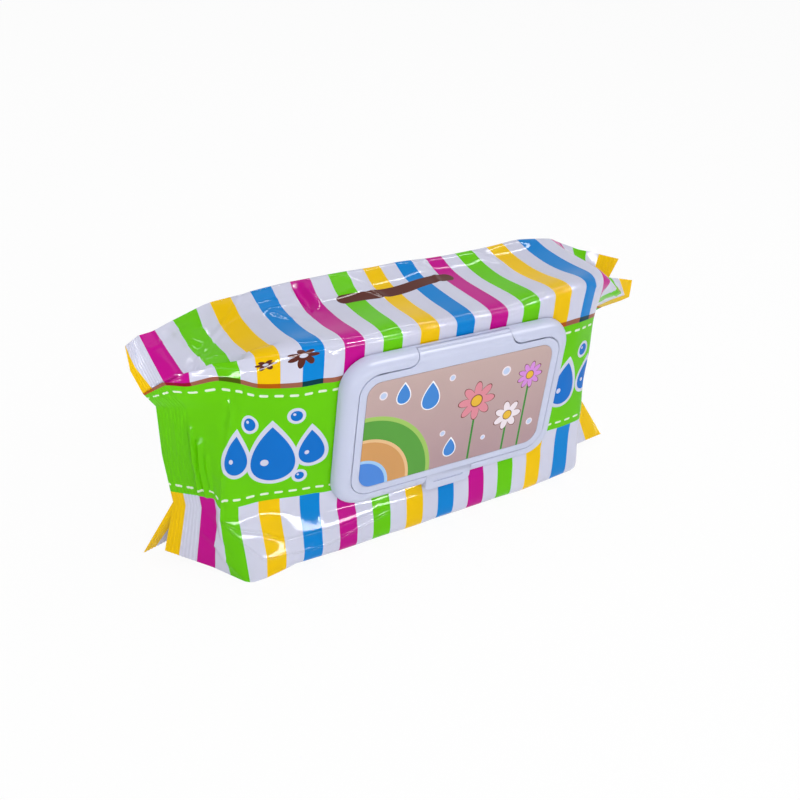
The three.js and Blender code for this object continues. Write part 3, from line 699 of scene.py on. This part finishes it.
# Drops and bubbles: a white one a little larger lies under each blue one
layers = ((OUTLINE, FILM_WHITE), (0, DROP_BLUE))
for outline, colour in layers:
    for x, lowest, length in DROPS:
        fields.append((drop_mask(film, along, around, x, lowest, length, outline), colour))
for outline, colour in layers:
    for x, y, radius in BUBBLES:
        fields.append((disc_mask(film, film_place, (x, y, 0), radius + BUBBLE_OUTLINE * outline), colour))
for motifs, (aside, up, share) in ((BUBBLES, BUBBLE_GLINT), (DROPS, DROP_GLINT)):
    for x, y, size in motifs:
        glint = (x + aside * size, y + up * size, 0)
        fields.append((disc_mask(film, film_place, glint, share * size), FILM_WHITE))
ink = overprint(film, ink, fields)
line_from = add_node(film, "Math", {0: around, 1: BAND_HIGH}, operation="GREATER_THAN")
line_to = add_node(film, "Math", {0: around, 1: BAND_HIGH + EDGE_LINE}, operation="LESS_THAN")
edge_line = add_node(film, "Math", {0: line_from, 1: line_to}, operation="MULTIPLY")
ink = add_node(film, "Mix", {0: edge_line, 6: ink, 7: linear(EDGE_LINE_TINT)},
               data_type="RGBA", blend_type="MULTIPLY")

INK_MOTTLE = 35           # mm across a patch of slightly heavier ink
FILM_RIPPLE = 16          # mm from ripple to ripple
FILM_GRAIN = 1.6          # real grain is finer than 0.3 mm; drawn coarse enough to show
LAP_RIB_PITCH = 1.6
RIPPLE_RELIEF, GRAIN_RELIEF, LAP_RIB_RELIEF = 0.08, 0.003, 0.05
film_object = add_node(film, "TexCoord").outputs["Object"]
mottle = add_node(film, "TexNoise", {"Vector": film_object, "Scale": 1 / (INK_MOTTLE * MM), "Detail": 3.0})
weight = add_node(film, "MapRange", {"Value": mottle, "From Min": 0.3, "From Max": 0.7, "To Min": 0.95,
                                     "To Max": 1.03})
ink = add_node(film, "HueSaturation", {"Value": weight, "Color": ink})
gloss = add_node(film, "MapRange", {"Value": mottle, "From Min": 0.3, "From Max": 0.7, "To Min": 0.04,
                                    "To Max": 0.08})
ripple = add_node(film, "TexNoise", {"Vector": film_object, "Scale": 1 / (FILM_RIPPLE * MM), "Detail": 1.0})
rippled = add_node(film, "Bump", {"Height": ripple, "Distance": RIPPLE_RELIEF * MM})
grain = add_node(film, "TexNoise", {"Vector": film_object, "Scale": 1 / (FILM_GRAIN * MM), "Detail": 2.0})
grained = add_node(film, "Bump", {"Height": grain, "Distance": GRAIN_RELIEF * MM, "Normal": rippled})
to_lap = add_node(film, "Math", {0: around, 1: LAP_MIDDLE}, operation="SUBTRACT")
lap_turn = add_node(film, "Math", {0: to_lap, 1: 2 * math.pi / LAP_RIB_PITCH}, operation="MULTIPLY")
lap_wave = add_node(film, "Math", {0: lap_turn}, operation="COSINE")
from_lap = add_node(film, "Math", {0: to_lap}, operation="ABSOLUTE")
on_lap = add_node(film, "Math", {0: from_lap, 1: LAP_WIDTH / 2}, operation="LESS_THAN")
lap_ribs = add_node(film, "Math", {0: lap_wave, 1: on_lap}, operation="MULTIPLY")
ribbed = add_node(film, "Bump", {"Height": lap_ribs, "Distance": LAP_RIB_RELIEF * MM, "Normal": grained})

# The sharp core of the corner creases, which is thinner than the mesh can hold
CORE_HEIGHT, CORE_HALF_WIDTH = 0.32, 0.6
from_core = float(GIRTH)
for points, _, _ in CORNER_CREASES:
    for start, end in zip(points, points[1:]):
        run = Vector((*end, 0)) - Vector((*start, 0))
        offset = add_node(film, "VectorMath", {0: film_place, 1: (*start, 0)}, operation="SUBTRACT")
        share = add_node(film, "VectorMath", {0: offset, 1: run / run.length_squared},
                         operation="DOT_PRODUCT")
        share = add_node(film, "Math", {0: share, 1: 0.0}, operation="ADD", use_clamp=True)
        foot = add_node(film, "VectorMath", {0: run, "Scale": share}, operation="SCALE")
        gap = add_node(film, "VectorMath", {0: offset, 1: foot}, operation="DISTANCE")
        from_core = add_node(film, "Math", {0: gap, 1: from_core}, operation="MINIMUM")
core = add_node(film, "Math", {0: from_core, 1: CORE_HALF_WIDTH}, operation="DIVIDE")
core = add_node(film, "Math", {0: core, 1: 2.0}, operation="POWER")
core = add_node(film, "Math", {0: core, 1: -1.0}, operation="MULTIPLY")
core = add_node(film, "Math", {0: core}, operation="EXPONENT")
creased = add_node(film, "Bump", {"Height": core, "Distance": CORE_HEIGHT * MM, "Normal": ribbed})
connect(film, film_shader, {"Base Color": ink, "Roughness": gloss, "Normal": creased,
                            "IOR": 1.49, "Specular IOR Level": 0.09})
pouch_mesh.materials.append(film)
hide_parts("film_pouch")
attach(pouch, "pack")


# Lid adhesive
# A ring of hot-melt glue, laid as a bead on the underside of the lid's base and squeezed flat when the base
# is pressed on the film.
MERGE_GAP, SLIVER = 0.02, 0.004     # within these, loose triangles join and the slivers of a bevel close
# In degrees: faces this flat are joined, edges this sharp are rounded, and gentler ones are shaded smooth
FLAT_ANGLE, ROUNDED_ANGLE, SHADED_ANGLE = 0.6, 34, 40


def moulded_copy(node, name, edge_radius, segments):
    """A copy of a CAD node, flat faces whole and sharp edges rounded as far as its facets leave room."""
    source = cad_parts[node]
    piece = source.copy()
    piece.data = source.data.copy()
    piece.name = name
    piece.parent = None
    for key in list(piece.keys()):
        del piece[key]
    piece.data.materials.clear()
    bpy.context.scene.collection.objects.link(piece)
    bpy.context.view_layer.objects.active = piece
    piece.select_set(True)
    bpy.ops.object.mode_set(mode="EDIT")
    bpy.ops.mesh.select_all(action="SELECT")
    bpy.ops.mesh.remove_doubles(threshold=MERGE_GAP * MM)
    bpy.ops.mesh.dissolve_limited(angle_limit=math.radians(FLAT_ANGLE))
    bpy.ops.object.mode_set(mode="OBJECT")
    edges = piece.modifiers.new("rounded_edges", "BEVEL")
    edges.width = edge_radius * MM
    edges.segments = segments
    edges.limit_method = "ANGLE"
    edges.angle_limit = math.radians(ROUNDED_ANGLE)
    edges.use_clamp_overlap = True
    bpy.ops.object.modifier_apply(modifier="rounded_edges")
    bpy.ops.object.mode_set(mode="EDIT")
    bpy.ops.mesh.select_all(action="SELECT")
    bpy.ops.mesh.dissolve_degenerate(threshold=SLIVER * MM)
    bpy.ops.object.mode_set(mode="OBJECT")
    bpy.ops.object.shade_smooth_by_angle(angle=math.radians(SHADED_ANGLE))
    even = piece.modifiers.new("even_shading", "WEIGHTED_NORMAL")
    even.keep_sharp = True
    bpy.ops.object.modifier_apply(modifier="even_shading")
    piece.select_set(False)
    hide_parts(node)
    return piece


GLUE_LUMP, LUMP_RELIEF = 3.5, 0.15     # mm across and over the lumps of squeezed glue
GLUE_AMBER, GLUE_PALE = "#D8CBA4", "#E6DEC4"
GLUE_EDGE = 0.1
adhesive = moulded_copy("lid_adhesive", "lid_adhesive_ring", GLUE_EDGE, 2)

# Hot-melt glue: a rubbery resin that set from the melt, cloudy and waxy, with light bleeding into its lumps.
glue, glue_shader = new_material("hot_melt_glue")
glue_object = add_node(glue, "TexCoord").outputs["Object"]
lumps = add_node(glue, "TexNoise", {"Vector": glue_object, "Scale": 1 / (GLUE_LUMP * MM), "Detail": 2.0})
# The glue's own amber and pale tones, laid by the lumps of the bump below: the paler tops are painted light,
# and the amber hollows are painted shade.
amber_with_lump_light = add_node(glue, "Mix", {0: lumps, 6: linear(GLUE_AMBER), 7: linear(GLUE_PALE)}, data_type="RGBA")
squeezed = add_node(glue, "Bump", {"Height": lumps, "Distance": LUMP_RELIEF * MM})
connect(glue, glue_shader, {"Base Color": amber_with_lump_light, "Normal": squeezed, "Roughness": 0.4, "IOR": 1.48,
                            "Subsurface Weight": 0.4, "Subsurface Radius": (0.9 * MM, 0.7 * MM, 0.4 * MM)})
adhesive.data.materials.append(glue)
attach(adhesive, "pack")


# Peel seal
# A tab of white film, heat-tacked over the die-cut opening and peeled off before first use; it lies in the
# lid's collar and shows only when the lid is open.
SEAL_WRINKLE, WRINKLE_RELIEF = 7, 0.2
GRIP_LENGTH = 6           # the pull tab is tinted
SEAL_PAINTED_SHADE, SEAL_WHITE, GRIP_BLUE = "#DADDE6", "#EEF0F5", "#7FB2E2"
SEAL_EDGE = 0.05
peel_seal = moulded_copy("peel_seal", "peel_seal_film", SEAL_EDGE, 1)
_, seal_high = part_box("peel_seal")

# White polyethylene film, blown and cut: a dull gloss, with the slack wrinkles of a sheet tacked at its rim.
tack, tack_shader = new_material("peel_seal_white_film")
tack_object = add_node(tack, "TexCoord").outputs["Object"]
tack_axes = add_node(tack, "SeparateXYZ", {0: tack_object})
wrinkle = add_node(tack, "TexNoise", {"Vector": tack_object, "Scale": 1 / (SEAL_WRINKLE * MM),
                                      "Detail": 2.0})
# Painted shade: the white film goes greyer where the wrinkle noise is low, in the hollows that the same
# noise presses into the bump below.
white_with_wrinkle_shade = add_node(tack, "Mix", {0: wrinkle, 6: linear(SEAL_PAINTED_SHADE), 7: linear(SEAL_WHITE)},
                      data_type="RGBA")
on_grip = add_node(tack, "Math", {0: tack_axes.outputs[0], 1: seal_high.x - GRIP_LENGTH * MM},
                   operation="GREATER_THAN")
tack_colour = overprint(tack, white_with_wrinkle_shade, [(on_grip, GRIP_BLUE)])
wrinkled = add_node(tack, "Bump", {"Height": wrinkle, "Distance": WRINKLE_RELIEF * MM})
connect(tack, tack_shader, {"Base Color": tack_colour, "Normal": wrinkled, "Roughness": 0.3,
                            "Specular IOR Level": 0.1})
peel_seal.data.materials.append(tack)
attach(peel_seal, "pack")


# Lid base
# The frame of the lid, injection-moulded in white polypropylene and glued to the film. Its rim is hollow,
# and a collar stands round the opening that the wipes are drawn through.
MOULD_EDGE = 0.12         # radius asked for on outer edges; the lid's close facets leave room for hardly any
MOULD_GRAIN = 0.7         # spark-eroded texture, really about 0.1 mm, drawn coarse enough to show
GRAIN_DEPTH = 0.008
MOULD_FLOW = 22           # faint cloudiness from the melt's flow
LID_WHITE, LID_SHADE = "#CACFE5", "#C2C7DE"

# White polypropylene, moulded on a fine spark-eroded face: satin, milky, a little translucent at the edges.
plastic, plastic_shader = new_material("moulded_white_polypropylene")
plastic_object = add_node(plastic, "TexCoord").outputs["Object"]
flow = add_node(plastic, "TexNoise", {"Vector": plastic_object, "Scale": 1 / (MOULD_FLOW * MM),
                                      "Detail": 3.0})
milky = add_node(plastic, "Mix", {0: flow, 6: linear(LID_WHITE), 7: linear(LID_SHADE)}, data_type="RGBA")
satin = add_node(plastic, "MapRange", {"Value": flow, "From Min": 0.3, "From Max": 0.7, "To Min": 0.3,
                                       "To Max": 0.4})
eroded = add_node(plastic, "TexNoise", {"Vector": plastic_object, "Scale": 1 / (MOULD_GRAIN * MM),
                                        "Detail": 2.0})
textured = add_node(plastic, "Bump", {"Height": eroded, "Distance": GRAIN_DEPTH * MM})
connect(plastic, plastic_shader, {"Base Color": milky, "Roughness": satin, "Normal": textured, "IOR": 1.49,
                                  "Specular IOR Level": 0.06, "Subsurface Weight": 0.3,
                                  "Subsurface Radius": (1.4 * MM, 1.4 * MM, 1.5 * MM)})

lid_base = moulded_copy("lid_base", "lid_base_shell", MOULD_EDGE, 3)
lid_base.data.materials.append(plastic)
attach(lid_base, "pack")


# Flip lid
# The cover, moulded in the same shot as the base and swinging on a thin web along its upper edge. A rib
# inside it closes over the collar, and the thumb tab stands out below with a groove for the nail.
flip_lid = moulded_copy("flip_lid", "flip_lid_shell", MOULD_EDGE, 3)
flip_lid.data.materials.append(plastic)
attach(flip_lid, "cover")


# Lid label
# A printed gloss film label, laid in the cover's shallow recess and rolled down. Its print is plain: quarter
# rings in one corner, daisies on stems, drops and bubbles.
GROUND_LOW, GROUND_HIGH = "#AC9095", "#BFA6A2"
RINGS = [(36, "#9CC260"), (34, "#569A3C"), (25, "#E0B888"), (23.5, "#CC965C"), (14.5, "#9CC4EC"),
         (13, "#4A84D6")]
STEM_GREEN, HEART_YELLOW, OUTLINE_BROWN = "#3F8A3A", "#E4B53A", "#6A3A32"
STEM_HALF, PETAL_OUTLINE = 0.55, 0.45
# Daisies by middle, radius, petals and colour, with the heart and its rim as shares of the radius
DAISIES = [(9, 5, 9.5, 8, "#D88896"), (28, -7, 7.4, 7, "#E9DEE6"), (37, 12, 6.6, 9, "#D08BD8")]
HEART_RIM, HEART = 0.34, 0.29
LABEL_DROPS = [(-16, 7, 13), (-30, 13, 9.5), (-2, -21, 9)]     # middle, lowest point, length
DROP_LAYERS = [(0.5, "#EEF0F6"), (0, "#3F83CF")]               # outline and colour
LABEL_BUBBLES = [(-40, 19, 2.0), (-6, 20, 1.6), (23, 17, 2.4), (-7, -8, 1.5), (16, -16, 1.3), (42, -14, 1.8)]
BUBBLE_LAYERS = [(1, "#E9DEE6"), (0.7, "#B9C9E8")]             # share of the radius and colour
LABEL_WAVE, WAVE_RELIEF = 18, 0.03     # the label follows the cover's slight unevenness
LABEL_EDGE = 0.08
label_low, label_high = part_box("lid_label")
label_middle = (label_low + label_high) / 2
corner = (label_low - label_middle) / MM
lid_label = moulded_copy("lid_label", "lid_label_print", LABEL_EDGE, 2)

# Gloss polypropylene label film, printed and varnished: even and shiny, and as flat as the cover under it.
label, label_shader = new_material("gloss_printed_label")
label_object = add_node(label, "TexCoord").outputs["Object"]
label_place = add_node(label, "Mapping", {"Vector": label_object, "Scale": (1 / MM, 0, 1 / MM),
                                          "Location": (-label_middle.x / MM, 0, -label_middle.z / MM)})
label_axes = add_node(label, "SeparateXYZ", {0: label_place})
label_x, label_z = label_axes.outputs[0], label_axes.outputs[2]
rise = add_node(label, "MapRange", {"Value": label_z, "From Min": corner.z, "From Max": -corner.z})
ground = add_node(label, "Mix", {0: rise, 6: linear(GROUND_LOW), 7: linear(GROUND_HIGH)}, data_type="RGBA")
fields = []
for radius, colour in RINGS:
    fields.append((disc_mask(label, label_place, (corner.x, 0, corner.z), radius), colour))
for x, z, radius in LABEL_BUBBLES:
    for share, colour in BUBBLE_LAYERS:
        fields.append((disc_mask(label, label_place, (x, 0, z), share * radius), colour))
for x, z, radius, petals, colour in DAISIES:
    shift = add_node(label, "Math", {0: label_x, 1: x}, operation="SUBTRACT")
    aside = add_node(label, "Math", {0: shift}, operation="ABSOLUTE")
    on_stem = add_node(label, "Math", {0: aside, 1: STEM_HALF}, operation="LESS_THAN")
    below = add_node(label, "Math", {0: label_z, 1: z}, operation="LESS_THAN")
    stem = add_node(label, "Math", {0: on_stem, 1: below}, operation="MULTIPLY")
    rim, daisy = flower_masks(label, label_place, (x, 0, z), 2, radius, petals, [PETAL_OUTLINE, 0])
    fields += [(stem, STEM_GREEN), (rim, OUTLINE_BROWN), (daisy, colour)]
    for share, tint in ((HEART_RIM, OUTLINE_BROWN), (HEART, HEART_YELLOW)):
        fields.append((disc_mask(label, label_place, (x, 0, z), share * radius), tint))
for outline, colour in DROP_LAYERS:
    for x, lowest, length in LABEL_DROPS:
        fields.append((drop_mask(label, label_x, label_z, x, lowest, length, outline), colour))
picture = overprint(label, ground, fields)
unevenness = add_node(label, "TexNoise", {"Vector": label_object, "Scale": 1 / (LABEL_WAVE * MM),
                                          "Detail": 2.0})
# Painted light and shade: the print is made up to 3% lighter on the crests of the unevenness and up to 3%
# darker in its lows, the same noise that raises the bump below.
relief_light_and_shade = add_node(label, "MapRange", {"Value": unevenness, "To Min": 0.97, "To Max": 1.03})
picture = add_node(label, "HueSaturation", {"Value": relief_light_and_shade, "Color": picture})
uneven = add_node(label, "Bump", {"Height": unevenness, "Distance": WAVE_RELIEF * MM})
connect(label, label_shader, {"Base Color": picture, "Normal": uneven, "Roughness": 0.22, "IOR": 1.49,
                              "Specular IOR Level": 0.15})
lid_label.data.materials.append(label)
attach(lid_label, "cover")


# Stage
# A white table in a white room, seen as white by the camera and in gloss, and lit by soft boxes.
TABLE_GLOW = 0.93         # share of plain white in the table as it is seen; the rest keeps the shadow
ROOM_LIGHT = 0.5          # level of the room's own light on the pack


def seen_directly(owner):
    """1 on rays from the camera, from gloss and through glass, and 0 on those that light a surface."""
    ray = add_node(owner, "LightPath").outputs
    seen = add_node(owner, "Math", {0: ray["Is Camera Ray"], 1: ray["Is Glossy Ray"]}, operation="ADD")
    return add_node(owner, "Math", {0: seen, 1: ray["Is Transmission Ray"]},
                    operation="ADD", use_clamp=True)


bpy.ops.mesh.primitive_plane_add(size=6)
floor = bpy.context.active_object
floor.name = "floor"
floor.select_set(False)
paper, paper_shader = new_material("white_table")
connect(paper, paper_shader, {"Base Color": linear("#F4F4F4"), "Roughness": 0.9})
glow = add_node(paper, "Emission", {0: (1, 1, 1, 1), 1: 1.0})
share = add_node(paper, "Math", {0: seen_directly(paper), 1: TABLE_GLOW}, operation="MULTIPLY")
table_mix = add_node(paper, "MixShader", {0: share, 1: paper_shader, 2: glow})
connect(paper, paper.node_tree.nodes["Material Output"], {0: table_mix})
floor.data.materials.append(paper)

world = bpy.data.worlds.new("white_room")
bpy.context.scene.world = world
world.use_nodes = True
level = add_node(world, "Math", {0: seen_directly(world), 1: 1 - ROOM_LIGHT, 2: ROOM_LIGHT},
                 operation="MULTIPLY_ADD")
connect(world, world.node_tree.nodes["Background"], {0: (1, 1, 1, 1), 1: level})


def soft_box(name, place, target, width, height, power, only_gloss=False):
    """An area lamp. One that is only for gloss draws bright lines on shiny folds and lights nothing else."""
    light = bpy.data.lights.new(name, "AREA")
    light.shape = "RECTANGLE"
    light.size = width
    light.size_y = height
    light.energy = power
    lamp = bpy.data.objects.new(name, light)
    lamp.location = place
    lamp.rotation_euler = (Vector(target) - Vector(place)).to_track_quat("-Z", "Y").to_euler()
    lamp.visible_diffuse = not only_gloss
    bpy.context.scene.collection.objects.link(lamp)


soft_box("key_box", (-0.35, -0.75, 0.65), (0, 0, 0.05), 0.5, 0.5, 3.6)
soft_box("top_box", (0.2, 0.2, 1.1), (0, 0, 0.05), 0.9, 0.5, 2.8)
soft_box("low_box", (0.44, -1.08, 0.29), (-0.05, 0, 0.02), 0.9, 0.36, 0.8)
soft_box("fold_strip", (0.55, -0.5, 0.76), (0.55, 0, 0.1), 0.8, 0.03, 50, only_gloss=True)
soft_box("rim_strip", (0.5, 0.7, 1.05), (0, 0, 0.1), 0.8, 0.05, 3.5, only_gloss=True)
soft_box("low_strip", (-0.2, -1.1, 0.07), (-0.2, 0, 0.02), 1.6, 0.1, 40, only_gloss=True)

# Camera
# A 47 mm lens above the pack's left front corner, turned a little about its own axis.
CAMERA_PLACE = Vector((-0.2449, -0.3309, 0.3033))
CAMERA_AIM = Vector((-0.0084, 0, 0.0519))
CAMERA_ROLL = math.radians(7.08)
camera_data = bpy.data.cameras.new("camera")
camera_data.lens = 47.25
camera_data.sensor_width = 36
camera = bpy.data.objects.new("camera", camera_data)
camera.location = CAMERA_PLACE
look = (CAMERA_AIM - CAMERA_PLACE).to_track_quat("-Z", "Y")
camera.rotation_euler = (look @ Quaternion((0, 0, 1), CAMERA_ROLL)).to_euler()
bpy.context.scene.collection.objects.link(camera)
bpy.context.scene.camera = camera
bpy.context.scene.view_settings.view_transform = "Standard"
